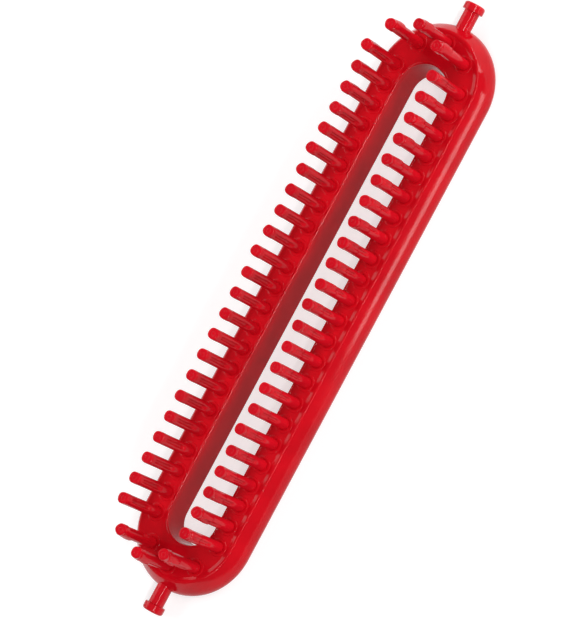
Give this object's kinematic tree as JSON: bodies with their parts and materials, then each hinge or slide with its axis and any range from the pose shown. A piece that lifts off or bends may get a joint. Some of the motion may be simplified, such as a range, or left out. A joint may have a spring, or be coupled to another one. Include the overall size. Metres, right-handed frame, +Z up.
{
  "type": "long knitting loom",
  "caption": "Oval moulded knitting loom: a hollow frame with a slot, upright grooved pegs with hooked heads around it, and a yarn anchor at each end.",
  "frame": {"origin": "centre of the loom's underside, on the table it stands on", "axes": "+X along the loom from the left anchor to the right one, +Y across it towards the back row, +Z up along the pegs"},
  "size_m": [0.2382, 0.0456, 0.035],
  "materials": {
    "frame_red": "glossy moulded",
    "peg_red": "glossy moulded",
    "anchor_red": "glossy moulded"
  },
  "bodies": {
    "root": {"base_frame": "frame_red", "anchor_left": "anchor_red", "anchor_right": "anchor_red", "peg_back_01": "peg_red", "peg_back_02": "peg_red", "peg_back_03": "peg_red", "peg_back_04": "peg_red", "peg_back_05": "peg_red", "peg_back_06": "peg_red", "peg_back_07": "peg_red", "peg_back_08": "peg_red", "peg_back_09": "peg_red", "peg_back_10": "peg_red", "peg_back_11": "peg_red", "peg_back_12": "peg_red", "peg_back_13": "peg_red", "peg_back_14": "peg_red", "peg_back_15": "peg_red", "peg_back_16": "peg_red", "peg_back_17": "peg_red", "peg_back_18": "peg_red", "peg_back_19": "peg_red", "peg_back_20": "peg_red", "peg_back_21": "peg_red", "peg_back_22": "peg_red", "peg_back_23": "peg_red", "peg_front_01": "peg_red", "peg_front_02": "peg_red", "peg_front_03": "peg_red", "peg_front_04": "peg_red", "peg_front_05": "peg_red", "peg_front_06": "peg_red", "peg_front_07": "peg_red", "peg_front_08": "peg_red", "peg_front_09": "peg_red", "peg_front_10": "peg_red", "peg_front_11": "peg_red", "peg_front_12": "peg_red", "peg_front_13": "peg_red", "peg_front_14": "peg_red", "peg_front_15": "peg_red", "peg_front_16": "peg_red", "peg_front_17": "peg_red", "peg_front_18": "peg_red", "peg_front_19": "peg_red", "peg_front_20": "peg_red", "peg_front_21": "peg_red", "peg_front_22": "peg_red", "peg_front_23": "peg_red", "peg_left_1": "peg_red", "peg_left_2": "peg_red", "peg_left_3": "peg_red", "peg_right_1": "peg_red", "peg_right_2": "peg_red", "peg_right_3": "peg_red"}
  },
  "joints": []
}
